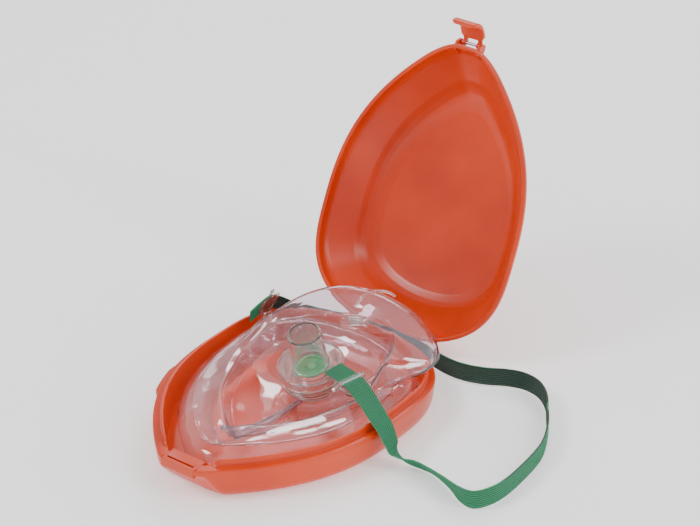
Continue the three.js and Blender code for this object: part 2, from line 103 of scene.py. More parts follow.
# Moulded polypropylene: even orange with a soft sheen, faint flow marks and a fine orange-peel skin.
def polypropylene(name, orange="dc3e00", deep="c83200"):
    material, tree, output = newMaterial(name)
    place = put(tree, "ShaderNodeTexCoord")
    flow = put(tree, "ShaderNodeTexNoise", {"Vector": (place, "Object"), "Scale": 28.0, "Detail": 3.0})
    tone = ramp(tree, (flow, "Fac"), [(0.3, linear(deep)), (0.7, linear(orange))])
    peel = put(tree, "ShaderNodeTexNoise", {"Vector": (place, "Object"), "Scale": 900.0, "Detail": 2.0})
    wave = put(tree, "ShaderNodeTexNoise", {"Vector": (place, "Object"), "Scale": 60.0, "Detail": 1.0})
    both = put(tree, "ShaderNodeMath", {0: (wave, "Fac"), 1: 5.0, 2: (peel, "Fac")}, operation="MULTIPLY_ADD")
    bump = put(tree, "ShaderNodeBump", {"Height": (both, "Value"), "Strength": 0.12, "Distance": 0.00025})
    rough = put(tree, "ShaderNodeMapRange", {"Value": (flow, "Fac"), "To Min": 0.24, "To Max": 0.36})
    shader = put(tree, "ShaderNodeBsdfPrincipled", {
        "Base Color": (tone, "Color"), "Roughness": (rough, "Result"), "IOR": 1.49, "Normal": (bump, "Normal"),
        "Subsurface Weight": 0.12, "Subsurface Radius": (0.004, 0.0012, 0.0004), "Subsurface Scale": 0.6,
    })
    finishWith(tree, output, shader)
    return material


# Clear plastic: see-through body with a polished skin; shadows let the light through.
def clearPlastic(name, tint, ior, roughness, coat, waver, waverScale=90.0, shade=0.9, clear=0.985, sheen=0.8):
    material, tree, output = newMaterial(name)
    place = put(tree, "ShaderNodeTexCoord")
    ripple = put(tree, "ShaderNodeTexNoise", {"Vector": (place, "Object"), "Scale": waverScale, "Detail": 2.0})
    bump = put(tree, "ShaderNodeBump", {"Height": (ripple, "Fac"), "Strength": waver, "Distance": 0.0006})
    shader = put(tree, "ShaderNodeBsdfPrincipled", {
        "Base Color": linear(tint), "Roughness": roughness, "IOR": ior, "Transmission Weight": clear,
        "Coat Weight": coat, "Coat Roughness": 0.05, "Coat IOR": 1.6,
        "Sheen Weight": sheen, "Sheen Roughness": 0.07, "Sheen Tint": linear("ebe6fb"),
        "Normal": (bump, "Normal"), "Coat Normal": (bump, "Normal"),
    })
    through = put(tree, "ShaderNodeBsdfTransparent", {"Color": (shade, shade, shade, 1.0)})
    ray = put(tree, "ShaderNodeLightPath")
    mix = put(tree, "ShaderNodeMixShader", {"Fac": (ray, "Is Shadow Ray"), 1: (shader, "BSDF"), 2: (through, "BSDF")})
    finishWith(tree, output, mix, "Shader")
    return material


# Silicone: dense green rubber with a dusty, slightly translucent face.
def silicone(name, colour):
    material, tree, output = newMaterial(name)
    place = put(tree, "ShaderNodeTexCoord")
    dust = put(tree, "ShaderNodeTexNoise", {"Vector": (place, "Object"), "Scale": 700.0, "Detail": 4.0})
    tone = ramp(tree, (dust, "Fac"), [(0.3, linear(colour)), (0.75, linear("5fa777"))])
    bump = put(tree, "ShaderNodeBump", {"Height": (dust, "Fac"), "Strength": 0.2, "Distance": 0.0002})
    shader = put(tree, "ShaderNodeBsdfPrincipled", {
        "Base Color": (tone, "Color"), "Roughness": 0.5, "IOR": 1.41, "Normal": (bump, "Normal"),
        "Subsurface Weight": 0.2, "Subsurface Radius": (0.001, 0.002, 0.001), "Subsurface Scale": 0.5,
    })
    finishWith(tree, output, shader)
    return material


# Drawn steel wire: grey metal with fine lines along it.
def drawnSteel(name):
    material, tree, output = newMaterial(name)
    place = put(tree, "ShaderNodeTexCoord")
    stretch = put(tree, "ShaderNodeMapping", {"Vector": (place, "Object"), "Scale": (40.0, 4000.0, 4000.0)})
    lines = put(tree, "ShaderNodeTexNoise", {"Vector": (stretch, "Vector"), "Scale": 1.0, "Detail": 2.0})
    rough = put(tree, "ShaderNodeMapRange", {"Value": (lines, "Fac"), "To Min": 0.22, "To Max": 0.42})
    bump = put(tree, "ShaderNodeBump", {"Height": (lines, "Fac"), "Strength": 0.2, "Distance": 0.00005})
    shader = put(tree, "ShaderNodeBsdfPrincipled", {
        "Base Color": linear("b9bcc0"), "Metallic": 1.0, "Roughness": (rough, "Result"), "Normal": (bump, "Normal"),
    })
    finishWith(tree, output, shader)
    return material


# Woven elastic: green ribs along the band with a fine cross weave; the colour darkens with the weave's height, painted
# shade in the gaps.
# The band's own UV runs 0 to 1 across and in millimetres along.
def wovenElastic(name, light, dark):
    material, tree, output = newMaterial(name)
    uv = put(tree, "ShaderNodeUVMap", uv_map="band")
    parts = put(tree, "ShaderNodeSeparateXYZ", {"Vector": (uv, "UV")})
    across = put(tree, "ShaderNodeMath", {0: (parts, "X"), 1: 2 * math.pi * 9}, operation="MULTIPLY")
    ribs = put(tree, "ShaderNodeMath", {0: (across, "Value")}, operation="COSINE")
    along = put(tree, "ShaderNodeMath", {0: (parts, "Y"), 1: 2 * math.pi / 0.75}, operation="MULTIPLY")
    picks = put(tree, "ShaderNodeMath", {0: (along, "Value")}, operation="SINE")
    weave = put(tree, "ShaderNodeMath", {0: (picks, "Value"), 1: 0.35, 2: (ribs, "Value")}, operation="MULTIPLY_ADD")
    place = put(tree, "ShaderNodeTexCoord")
    fuzz = put(tree, "ShaderNodeTexNoise", {"Vector": (place, "Object"), "Scale": 1600.0, "Detail": 3.0})
    height = put(tree, "ShaderNodeMath", {0: (fuzz, "Fac"), 1: 0.6, 2: (weave, "Value")}, operation="MULTIPLY_ADD")
    level = put(tree, "ShaderNodeMapRange", {"Value": (height, "Value"), "From Min": -1.0, "From Max": 1.6})
    # Low places of the weave take the dark colour: painted shade in the gaps, with random tone from the fuzz.
    tone = ramp(tree, (level, "Result"), [(0.05, linear(dark)), (0.75, linear(light))])
    bump = put(tree, "ShaderNodeBump", {"Height": (height, "Value"), "Strength": 0.7, "Distance": 0.00016})
    shader = put(tree, "ShaderNodeBsdfPrincipled", {
        "Base Color": (tone, "Color"), "Roughness": 0.78, "IOR": 1.5, "Normal": (bump, "Normal"),
        "Sheen Weight": 0.08, "Sheen Roughness": 0.5,
    })
    finishWith(tree, output, shader)
    return material


shellOrange = polypropylene("moulded_polypropylene")
cuffClear = clearPlastic("inflated_clear_vinyl", "fbf7fd", 1.14, 0.02, 1.0, 0.12)
domeClear = clearPlastic("moulded_clear_vinyl", "f8f4fb", 1.17, 0.02, 1.0, 0.12)
rigidClear = clearPlastic("polished_clear_acrylic", "fafbfb", 1.32, 0.02, 0.8, 0.05, sheen=0.6)
greenSilicone = silicone("green_silicone", "3c8a55")
pinSteel = drawnSteel("drawn_steel")
strapElastic = wovenElastic("woven_elastic", "238a5c", "0c4a33")
# A darker copy of the woven elastic: painted shade for the band's inner face past the case.
strapShadedCopy = wovenElastic("woven_elastic_painted_shade", "16402f", "05160f")
print("materials made")


def smooth(low, high, value):
    t = min(1.0, max(0.0, (value - low) / (high - low)))
    return t * t * (3 - 2 * t)


def pointsToMesh(name, points, faces, material, soft=True):
    mesh = bpy.data.meshes.new(name)
    mesh.from_pydata([tuple(v * mm for v in p) for p in points], [], faces)
    mesh.materials.append(material)
    work = bmesh.new()
    work.from_mesh(mesh)
    bmesh.ops.recalc_face_normals(work, faces=work.faces)
    work.to_mesh(mesh)
    work.free()
    mesh.shade_smooth() if soft else mesh.shade_flat()
    obj = bpy.data.objects.new(name, mesh)
    bpy.context.collection.objects.link(obj)
    return obj


# A skin over rings of equal count; joined closes the last ring onto the first, ends closes each by a fan.
def loft(name, rings, material, joined=False, ends="both", sharp=None):
    count = len(rings[0])
    points = [p for ring in rings for p in ring]
    faces = []
    for r in range(len(rings) if joined else len(rings) - 1):
        low, high = r * count, ((r + 1) % len(rings)) * count
        for i in range(count):
            j = (i + 1) % count
            faces.append((low + i, low + j, high + j, high + i))
    for ring, wanted in ((0, ("both", "first")), (len(rings) - 1, ("both", "last"))):
        if not joined and ends in wanted:
            middle = sum((Vector(p) for p in rings[ring]), Vector()) / count
            points.append(middle)
            faces += [(ring * count + i, ring * count + (i + 1) % count, len(points) - 1) for i in range(count)]
    obj = pointsToMesh(name, points, faces, material)
    if sharp:
        obj.data.set_sharp_from_angle(angle=math.radians(sharp))
    return obj


def bevelled(obj, width, segments=3, angle=35):
    bevel = obj.modifiers.new("edges", "BEVEL")
    bevel.width = width * mm
    bevel.segments = segments
    bevel.limit_method = "ANGLE"
    bevel.angle_limit = math.radians(angle)
    bevel.harden_normals = True
    return obj


# Applies the modifiers and joins the pieces into one.
def oneOf(name, *pieces):
    graph = bpy.context.evaluated_depsgraph_get()
    work = bmesh.new()
    slots = []
    for piece in pieces:
        mesh = bpy.data.meshes.new_from_object(piece.evaluated_get(graph))
        mesh.transform(piece.matrix_world)
        for material in mesh.materials:
            if material not in slots:
                slots.append(material)
        before = len(work.faces)
        work.from_mesh(mesh)
        work.faces.ensure_lookup_table()
        for face in work.faces[before:]:
            face.material_index = slots.index(mesh.materials[face.material_index])
    mesh = bpy.data.meshes.new(name)
    work.to_mesh(mesh)
    work.free()
    for material in slots:
        mesh.materials.append(material)
    obj = bpy.data.objects.new(name, mesh)
    bpy.context.collection.objects.link(obj)
    for piece in pieces:
        bpy.data.objects.remove(piece)
    return obj


def cutBy(obj, cutters):
    for cutter in cutters:
        cut = obj.modifiers.new("cut", "BOOLEAN")
        cut.operation = "DIFFERENCE"
        cut.solver = "EXACT"
        cut.object = cutter
        bpy.context.view_layer.update()
        mesh = bpy.data.meshes.new_from_object(obj.evaluated_get(bpy.context.evaluated_depsgraph_get()))
        obj.modifiers.remove(cut)
        obj.data = mesh
    for cutter in cutters:
        bpy.data.objects.remove(cutter)
    return obj


def boxBetween(name, low, high, material):
    corners = [(x, y, z) for x in (low[0], high[0]) for y in (low[1], high[1]) for z in (low[2], high[2])]
    faces = [(0, 1, 3, 2), (4, 6, 7, 5), (0, 4, 5, 1), (2, 3, 7, 6), (0, 2, 6, 4), (1, 5, 7, 3)]
    return pointsToMesh(name, corners, faces, material, soft=False)


def barAlongX(name, radius, low, high, y, z, material, sides=48):
    rings = [[(x, y + radius * math.cos(2 * math.pi * k / sides), z + radius * math.sin(2 * math.pi * k / sides))
              for k in range(sides)] for x in (low, high)]
    return loft(name, rings, material, sharp=30)


# A flat outline in the Y-Z plane, drawn out along X.
def plateAcross(name, outline, low, high, material):
    return loft(name, [[(x, y, z) for y, z in outline] for x in (low, high)], material, sharp=25)


# A piece turned about +Z from a closed profile of (radius, height), then placed by a matrix.
def turned(name, profile, material, matrix, sides=96):
    rings = []
    for k in range(sides):
        angle = 2 * math.pi * k / sides
        rings.append([matrix @ Vector((r * math.cos(angle), r * math.sin(angle), h)) for r, h in profile])
    return loft(name, rings, material, joined=True, sharp=40)


# Corners of a closed profile rounded to short arcs.
def softened(profile, radius=0.25, steps=3):
    out = []
    count = len(profile)
    for i, corner in enumerate(profile):
        here = Vector(corner)
        before, after = Vector(profile[i - 1]) - here, Vector(profile[(i + 1) % count]) - here
        reach = min(radius, before.length * 0.45, after.length * 0.45)
        start, stop = here + before.normalized() * reach, here + after.normalized() * reach
        for s in range(steps + 1):
            t = s / steps
            out.append(tuple((1 - t) ** 2 * start + 2 * t * (1 - t) * here + t * t * stop))
    return out


def catmull(points, t):
    span = t * (len(points) - 1)
    i = min(int(span), len(points) - 2)
    u = span - i
    p0, p1, p2, p3 = (Vector(points[max(0, min(len(points) - 1, i + k))]) for k in (-1, 0, 1, 2))
    return 0.5 * ((2 * p1) + (p2 - p0) * u + (2 * p0 - 5 * p1 + 4 * p2 - p3) * u * u
                  + (3 * p1 - p0 - 3 * p2 + p3) * u ** 3)


# A round tube along points.
def tube(name, points, radius, material, sides=16, steps=60):
    centres = [catmull(points, k / steps) for k in range(steps + 1)]
    rings = []
    side = None
    for k, centre in enumerate(centres):
        along = (centres[min(k + 1, steps)] - centres[max(k - 1, 0)]).normalized()
        side = (side or along.orthogonal()) - along * (side or along.orthogonal()).dot(along)
        side.normalize()
        other = along.cross(side)
        rings.append([centre + radius * (side * math.cos(2 * math.pi * i / sides)
                                         + other * math.sin(2 * math.pi * i / sides)) for i in range(sides)])
    return loft(name, rings, material)


# Case outline in the table plane, millimetres.
case = {"half": 58.0, "tip": 10.6, "widest": 0.37, "chinPower": 3.2, "sidePower": 2.5, "rim": 17.5}


def halfWidthAt(share, half, tip):
    if share < case["widest"]:
        return half * math.sqrt(max(0.0, 1 - ((case["widest"] - share) / case["widest"]) ** case["chinPower"]))
    return tip + (half - tip) * (1 - ((share - case["widest"]) / (1 - case["widest"])) ** case["sidePower"])


# Outline points from the chin down the +X side and back; the corner at the narrow end is rounded.
def teardrop(chin, nose, half, tip, steps, corner=0.0):
    right = []
    for k in range(steps + 1):
        share = (1 - math.cos(math.pi * k / steps)) / 2
        y = chin + (nose - chin) * share
        if y < nose + corner:
            break
        right.append(Vector((halfWidthAt(share, half, tip), y, 0)))
    if corner:
        start, bend, stop = right[-1], Vector((tip, nose, 0)), Vector((tip - min(corner, 7), nose, 0))
        right += [(1 - t) ** 2 * start + 2 * t * (1 - t) * bend + t * t * stop for t in (i / 12 for i in range(1, 13))]
        right += [Vector((stop.x * share, nose, 0)) for share in (0.66, 0.33)] + [Vector((0, nose, 0))]
        return right + [Vector((-p.x, p.y, 0)) for p in reversed(right[1:-1])]
    return right + [Vector((-p.x, p.y, 0)) for p in reversed(right[1:])]


def normalsOf(outline):
    count = len(outline)
    return [Vector((t.y, -t.x, 0)).normalized()
            for t in (outline[(i + 1) % count] - outline[i - 1] for i in range(count))]


outlineTray = teardrop(75, -75, case["half"], case["tip"], 110, corner=2.2)
outlineLid = teardrop(75, -75, case["half"], case["tip"], 110, corner=8)
middleCase = Vector((0, 14, 0))


# The outline moved inward; far in, it closes on the middle of the case.
def insetBy(outline, inward, distance):
    near = min(distance, 7.0)
    share = max(0.0, (distance - 7.0) / (case["half"] - 7.0))
    return [(p + n * near).lerp(middleCase, share) for p, n in zip(outline, inward)]


# Rings of a case shell from a profile of (inset, height), its corners rounded.
def shellRings(outline, profile, lift=lambda x, y, z: z, radius=0.5):
    inward = normalsOf(outline)
    fine = []
    for i, corner in enumerate(profile):
        here = Vector(corner)
        if i in (0, len(profile) - 1):
            fine.append(tuple(here))
            continue
        before, after = Vector(profile[i - 1]) - here, Vector(profile[i + 1]) - here
        reach = min(radius, before.length * 0.48, after.length * 0.48)
        start, stop = here + before.normalized() * reach, here + after.normalized() * reach
        fine += [tuple((1 - t) ** 2 * start + 2 * t * (1 - t) * here + t * t * stop) for t in (0, 0.33, 0.67, 1)]
    return [[(p.x, p.y, lift(p.x, p.y, z)) for p in insetBy(outline, inward, d)] for d, z in fine]


tray = {"wall": 2.0, "tongue": 3.3, "tipLift": 10.5, "liftStart": -62, "liftLength": 11, "liftHalf": 12,
        "pin": (76.6, 9.5), "knuckle": 3.1}
rim = case["rim"]


# The underside rises to a finger recess under the tip.
def trayLift(x, y, z):
    if z > rim:
        z = rim + (z - rim) * smooth(9, 10.6, y + 75)
    if y < -68 and z > rim - 2.6:
        return rim - 2.6 + (z - rim + 2.6) * smooth(8.5, 9.4, abs(x))
    share = min(1.0, max(0.0, (rim - z) / (rim - tray["wall"])))
    across = 1 - smooth(tray["liftHalf"], tray["liftHalf"] + 8, abs(x))
    return z + tray["tipLift"] * smooth(0, tray["liftLength"], tray["liftStart"] - y) * across * share


trayProfile = [
    (30, 0), (14, 0), (9.4, 0.02), (6.6, 0.5), (4.4, 1.5), (2.7, 3.0), (1.6, 5.2), (0.9, 8), (0.4, 11.5), (0.05, 14.6),
    (0, rim), (3.5, rim), (3.65, rim + 3.3), (5.1, rim + 3.3), (5.6, 13), (6.3, 7), (7.2, 4.4), (9, 2.6), (12, 2),
    (30, 2),
]
trayShell = loft("tray_shell", shellRings(outlineTray, trayProfile, trayLift), shellOrange, sharp=50)
tipY = -75
# Raised platform at the tip with a narrow slot for the latch.
platform = bevelled(plateAcross("tip_platform", [
    (tipY - 0.05, rim - 4.4), (tipY + 12, rim - 4.4), (tipY + 9, rim), (tipY - 0.05, rim)],
    -9.4, 9.4, shellOrange), 0.35)
slotEnds = (-7.8, tipY + 2.1, rim - 2.6), (7.8, tipY + 3.2, rim + 2)
platform = cutBy(platform, [boxBetween("cutter", *slotEnds, shellOrange)])
hub = barAlongX("hub", tray["knuckle"], -6, 6, *tray["pin"], shellOrange)
web = boxBetween("web", (-6, 72.1, 6.9), (6, 76.6, 12.1), shellOrange)
trayShell = cutBy(trayShell, [barAlongX("cutter", 3.6, low, high, *tray["pin"], shellOrange)
                              for low, high in ((6.05, 16), (-16, -6.05))])


# A turn about a pin that lies along X at (y, z).
def turnAbout(y, z, angle):
    middle = Matrix.Translation((0, y * mm, z * mm))
    return middle @ Matrix.Rotation(-angle, 4, "X") @ middle.inverted()


# The finger tab low on the rim, on the -X side.
def sideTab():
    steps = [i for i, p in enumerate(outlineTray) if p.x < 0 and -37.5 < p.y < -7]
    inward = normalsOf(outlineTray)
    rings = []
    for k, i in enumerate(steps):
        ease = min(1.0, min(k, len(steps) - 1 - k) / 2.5)
        outward = -inward[i]
        ring = [(0.9, -1.0), (0.9, -4.8), (-0.2 + 1.5 * ease, -4.4), (-0.2 + 2.2 * ease, -3.6),
                (-0.2 + 2.3 * ease, -1.6), (-0.2 + 1.7 * ease, -1.0)]
        rings.append([outlineTray[i] + outward * (d if j > 1 else -d) + Vector((0, 0, rim + h))
                      for j, (d, h) in enumerate(ring)])
    return loft("side_tab", rings, shellOrange, sharp=50)


trayPiece = oneOf("tray", trayShell, platform, hub, web, sideTab())
hingePinPiece = bevelled(barAlongX("hinge_pin_wire", 1.4, -15, 15, *tray["pin"], pinSteel), 0.25)
print("tray made")


lid = {"gap": 0.3, "rise": 29.0, "open": math.radians(116), "latchPin": (-75.7, rim + 5),
       "latchOpen": math.radians(54)}
base, top = rim + lid["gap"], rim + lid["rise"]
lidProfile = [
    (34, top - 2), (23, top - 3.4), (19.4, top - 4.9), (17.2, top - 6.6), (15.4, top - 9), (13.4, top - 12.2),
    (4.7, base + 6.4), (3.5, base + 4.4), (3.1, base + 3.2), (3, base), (0.8, base), (0.8, base + 1.9),
    (1.2, base + 2.6), (2.7, base + 5.2), (11.4, top - 12.2), (13.4, top - 8.6), (16, top - 5.2), (19, top - 2.8),
    (22, top - 1.5), (34, top),
]
lidShell = loft("lid_shell", shellRings(outlineLid, lidProfile, radius=0.6), shellOrange, sharp=50)
pinY, pinZ = tray["pin"]
lidParts = [lidShell]
for low, high in ((6.4, 14.4), (-14.4, -6.4)):
    lidParts.append(barAlongX("knuckle", tray["knuckle"], low, high, pinY, pinZ, shellOrange))
    lidParts.append(bevelled(plateAcross("arm", [
        (pinY - 0.9, pinZ), (pinY + 3.1, pinZ), (pinY + 2.5, base + 2), (pinY - 3.4, base + 5.5),
        (pinY - 4.4, base + 4.4), (pinY - 3.4, base + 0.5), (pinY - 0.9, base + 0.2)], low, high, shellOrange), 0.3))
latchY, latchZ = lid["latchPin"]
for low, high in ((5.75, 7.4), (-7.4, -5.75)):
    lidParts.append(bevelled(plateAcross("ear", [
        (tipY + 4.2, base + 0.8), (tipY + 5.6, base + 5.4), (latchY + 1, latchZ + 1.6), (latchY - 1.2, latchZ + 1.2),
        (latchY - 1.5, latchZ - 0.8), (latchY + 0.2, base + 0.8)], low, high, shellOrange), 0.3))
opened = turnAbout(pinY, pinZ, lid["open"])
lidPiece = oneOf("lid", *lidParts)
lidPiece.data.transform(opened)
latchPinPiece = bevelled(barAlongX("latch_pin_wire", 0.8, -7.4, 7.4, latchY, latchZ, pinSteel), 0.2)
latchPinPiece.data.transform(opened)
print("lid made")


# Middle line of the plate, shut, from the pin down past the tip and in under it.
latch = {"half": 5.4, "thick": 1.9,
         "line": [(-0.9, 0.7), (-1.4, -1.5), (-1.7, -4.5), (-1.5, -7.6), (-0.7, -10.4), (0.9, -12.7), (3, -14.2),
                  (4.8, -14.6), (6.2, -14.5)]}


def makeLatch():
    line = [(latchY + y, latchZ + z, 0) for y, z in latch["line"]]
    steps = 56
    rings = []
    for k in range(steps + 1):
        t = k / steps
        here = catmull(line, t)
        along = (catmull(line, min(1.0, t + 0.02)) - catmull(line, max(0.0, t - 0.02))).normalized()
        normal = Vector((-along.y, along.x, 0))
        reach = latch["thick"] / 2 * (1 - 0.3 * smooth(0.9, 1.0, t))
        half = latch["half"] + 1.5 * smooth(0.16, 0.26, t) - 1.6 * smooth(0.86, 1.0, t) ** 2
        ring = []
        section = ((-half, -0.4), (-half + 0.4, -1), (half - 0.4, -1), (half, -0.4),
                   (half, 0.4), (half - 0.4, 1), (-half + 0.4, 1), (-half, 0.4))
        for x, d in section:
            point = here + normal * d * reach
            ring.append((x, point.x, point.y))
        rings.append(ring)
    plate = loft("latch_plate", rings, shellOrange, sharp=40)
    window = boxBetween("cutter", (-3.3, latchY - 4, latchZ - 2.6), (3.3, latchY + 3, latchZ + 3), shellOrange)
    plate = cutBy(plate, [window])
    rounds = [bevelled(barAlongX("eye", 1.6, low, high, latchY, latchZ, shellOrange), 0.2)
              for low, high in ((3.3, 5.4), (-5.4, -3.3))]
    return oneOf("latch_piece", bevelled(plate, 0.15, 2), *rounds)


latchPiece = makeLatch()
latchPiece.data.transform(opened @ turnAbout(latchY, latchZ, lid["latchOpen"]))
print("latch made")


cuff = {"nose": -52.0, "chin": 60.4, "half": 43.2, "noseHalf": 3.0, "up": 7.0, "bulge": 8.2, "wide": 9.0, "foot": 2.4,
        "rise": 3.6}


# The cuff's centre line, evenly stepped.
def cuffLine(count):
    raw = teardrop(cuff["chin"], cuff["nose"], cuff["half"], cuff["noseHalf"], 60)
    for _ in range(6):
        raw = [(raw[i - 1] + p * 2 + raw[(i + 1) % len(raw)]) / 4 for i, p in enumerate(raw)]
    lengths = [0.0]
    for i, p in enumerate(raw):
        lengths.append(lengths[-1] + (raw[(i + 1) % len(raw)] - p).length)
    out = []
    for k in range(count):
        target = lengths[-1] * k / count
        i = max(j for j in range(len(raw)) if lengths[j] <= target)
        t = (target - lengths[i]) / (lengths[i + 1] - lengths[i])
        out.append(raw[i].lerp(raw[(i + 1) % len(raw)], t))
    return out


lineCount = 192
cuffCentre = cuffLine(lineCount)
cuffInward = normalsOf(cuffCentre)


def cuffZ(y):
    return cuff["foot"] + cuff["up"] + cuff["rise"] * smooth(-20, 60, y)


# Soft puckers along the cuff, stronger round the nose where the film gathers.
def makeCuff():
    sides = 40
    rings = []
    for i, p in enumerate(cuffCentre):
        ring = []
        gather = 0.35 + 0.65 * smooth(-20, -50, p.y) if p.y < -20 else 0.35
        for k in range(sides):
            turn = 2 * math.pi * k / sides
            crease = noise.noise(Vector((i * 0.19, math.cos(turn) * 1.3, math.sin(turn) * 1.3))) * 0.5 * gather
            crease += noise.noise(Vector((p.x * 0.05, p.y * 0.05, turn * 0.6 + 7))) * 0.3
            out = -0.3 + crease
            point = p + cuffInward[i] * ((cuff["wide"] + out) * math.cos(turn))
            ring.append((point.x, point.y, cuffZ(p.y) + (cuff["bulge"] + min(0.0, out)) * math.sin(turn)))
        rings.append(ring)
    return loft("cuff_film", rings, cuffClear, joined=True)


cuffPiece = makeCuff()
print("cuff made")


valve = {"lean": math.radians(14), "seat": Vector((0, 23.4, 20.6)), "port": 12.4}
valveUp = Vector((0, -math.sin(valve["lean"]), math.cos(valve["lean"])))
valveFrame = Matrix.Translation(valve["seat"]) @ Matrix.Rotation(valve["lean"], 4, "X")
portFoot = valve["seat"] + valveUp * -14.6

# From the cuff over the fold and down inside: inward, above the cuff's crown, outward push, rise, start of the push.
domeFold = [
    (-1.5, 1.9, 6.5, 0, 34), (1, 2.4, 13, 3, 24), (2.6, 3, 19, 8, 22), (4.4, 3.4, 21, 13, 22),
    (6.2, 3.4, 19, 14.4, 32), (8.4, 2.4, 14, 12, 40), (10.2, -0.8, 11, 8, 40), (12, -5, 6, 4, 40),
]


# Rings of the film from the cuff over the fold, then sinking to the valve's port.
def domeRings(fineFold=30, fineSink=22):
    raw = []
    for r, (inward, above, push, rise, start) in enumerate(domeFold):
        ring = []
        for i, p in enumerate(cuffCentre):
            draw = 4.5 * min(1.0, r / 3) * (1 - smooth(-12, 22, p.y))
            lean = 0.05 + 0.95 * smooth(-45, 0, p.x)
            outward = push * lean * smooth(start, start + 24, p.y)
            lump = 0.45 * smooth(14, 36, p.y) + 0.55 * smooth(42, 60, p.y)
            point = p + cuffInward[i] * (inward + draw - outward)
            point.z = cuffZ(p.y) + cuff["up"] + above + rise * lump
            ring.append(point)
        raw.append(ring)
    columns = [[catmull([ring[i] for ring in raw], k / fineFold) for k in range(fineFold + 1)]
               for i in range(lineCount)]
    rings = [[column[k] for column in columns] for k in range(fineFold + 1)]
    last = rings[-1]
    port = []
    for p in last:
        across = p - portFoot
        across.z = 0
        across.normalize()
        radial = (across - valveUp * across.dot(valveUp)).normalized()
        port.append(portFoot + radial * (valve["port"] - 0.5) + valveUp * 0.9)
    for k in range(1, fineSink + 1):
        t = k / fineSink
        ring = []
        for p, q in zip(last, port):
            point = p.lerp(q, t)
            point.z = q.z + (p.z - q.z) * (1 - t) ** 1.7
            ring.append(point)
        rings.append(ring)
    return rings


# Folds in the pushed-in film: nested arcs at the hinge end and creases towards the nose.
def creaseAt(p, depth):
    arcs = math.sin((p - Vector((4, 8, p.z))).length * 0.62 + 0.5 * noise.noise(p * 0.04)) * smooth(26, 48, p.y)
    fan = math.sin(math.atan2(p.x - 4, p.y + 62) * 11 + 2 * noise.noise(p * 0.05))
    fan *= smooth(6, -14, p.y) * smooth(-52, -40, p.y)
    return depth * (0.55 * arcs + 0.8 * fan) + 0.5 * noise.noise(p * 0.07)


def makeDome():
    rings = domeRings()
    total = len(rings)
    shaped = []
    for r, ring in enumerate(rings):
        t = r / (total - 1)
        hold = smooth(0.02, 0.12, t) * smooth(1.0, 0.86, t)
        out = []
        for i, p in enumerate(ring):
            along = ring[(i + 1) % lineCount] - ring[i - 1]
            nextRing = rings[min(r + 1, total - 1)][i] - rings[max(r - 1, 0)][i]
            normal = along.cross(nextRing).normalized()
            if normal.z < 0:
                normal.negate()
            out.append(p - normal * (0.35 - 0.9 * hold * creaseAt(p, 0.55)))
        shaped.append(out)
    film = loft("dome_film", shaped, domeClear, ends="none")
    thick = film.modifiers.new("wall", "SOLIDIFY")
    thick.thickness = 1.1 * mm
    thick.offset = -1
    neckProfile = softened([(11.2, -14.6), (12.4, -14.6), (12.4, -9.9), (11.2, -9.9)], 0.3)
    neck = turned("dome_neck", neckProfile, domeClear, valveFrame)
    return oneOf("dome", film, neck)


domePiece = makeDome()
print("dome made")


tubeProfile = [
    (7.4, 0.1), (15.1, 0.1), (15.1, -3.4), (16.3, -3.4), (16.3, 1.1), (15.9, 1.5), (10.2, 1.5), (9.2, 1.9), (8.7, 3.2),
    (8.25, 19.4), (8.2, 20), (7.0, 20), (6.95, 19.4)]
mouthpiecePiece = turned("mouthpiece_tube", softened(tubeProfile, 0.22), rigidClear, valveFrame, 128)
housingProfile = [
    (9.6, -13.8), (10.9, -13.8), (10.95, -9.5), (14.9, -9.5), (15.3, -9.1), (15.3, -8.2), (14.7, -7.8), (14.7, -0.3),
    (13.4, -0.3), (13.4, -7.8), (9.2, -7.8), (9.2, -3.6), (8.0, -3.6), (8.0, -8.6), (9.6, -9.6)]
connectorPiece = turned("valve_housing", softened(housingProfile, 0.22), rigidClear, valveFrame, 128)


# Stop over the flap: ring and hub on a thin web with fine ribs.
def makeFlapStop():
    ringProfile = softened([(6.3, -1.3), (8.4, -1.3), (8.4, -0.2), (6.3, -0.2)], 0.15)
    hubProfile = softened([(0.01, -1.2), (2.2, -1.2), (2.0, -0.35), (0.01, -0.3)], 0.1)
    webProfile = softened([(0.01, -1.25), (6.6, -1.25), (6.6, -0.75), (0.01, -0.75)], 0.1)
    ring = turned("stop_ring", ringProfile, greenSilicone, valveFrame)
    hubDisc = turned("stop_hub", hubProfile, greenSilicone, valveFrame, 48)
    web = turned("stop_web", webProfile, greenSilicone, valveFrame)
    spokes = []
    for k in range(24):
        spoke = boxBetween("spoke", (1.2, -0.16, -1.2), (6.8, 0.16, -0.5), greenSilicone)
        turn = Matrix.Rotation(k * math.pi / 12 + 0.1, 4, "Z")
        place = valveFrame.copy()
        place.translation = valve["seat"] * mm
        spoke.data.transform(place @ turn)
        spokes.append(bevelled(spoke, 0.06, 2))
    return oneOf("flap_stop_spider", ring, hubDisc, web, *spokes)


flapStopPiece = makeFlapStop()
flapProfile = softened([(0.01, -2.2), (7.2, -2.2), (7.2, -1.65), (4, -1.6), (0.01, -1.6)], 0.1)
flapPiece = turned("flap_disc", flapProfile, greenSilicone, valveFrame, 64)
print("valve made")


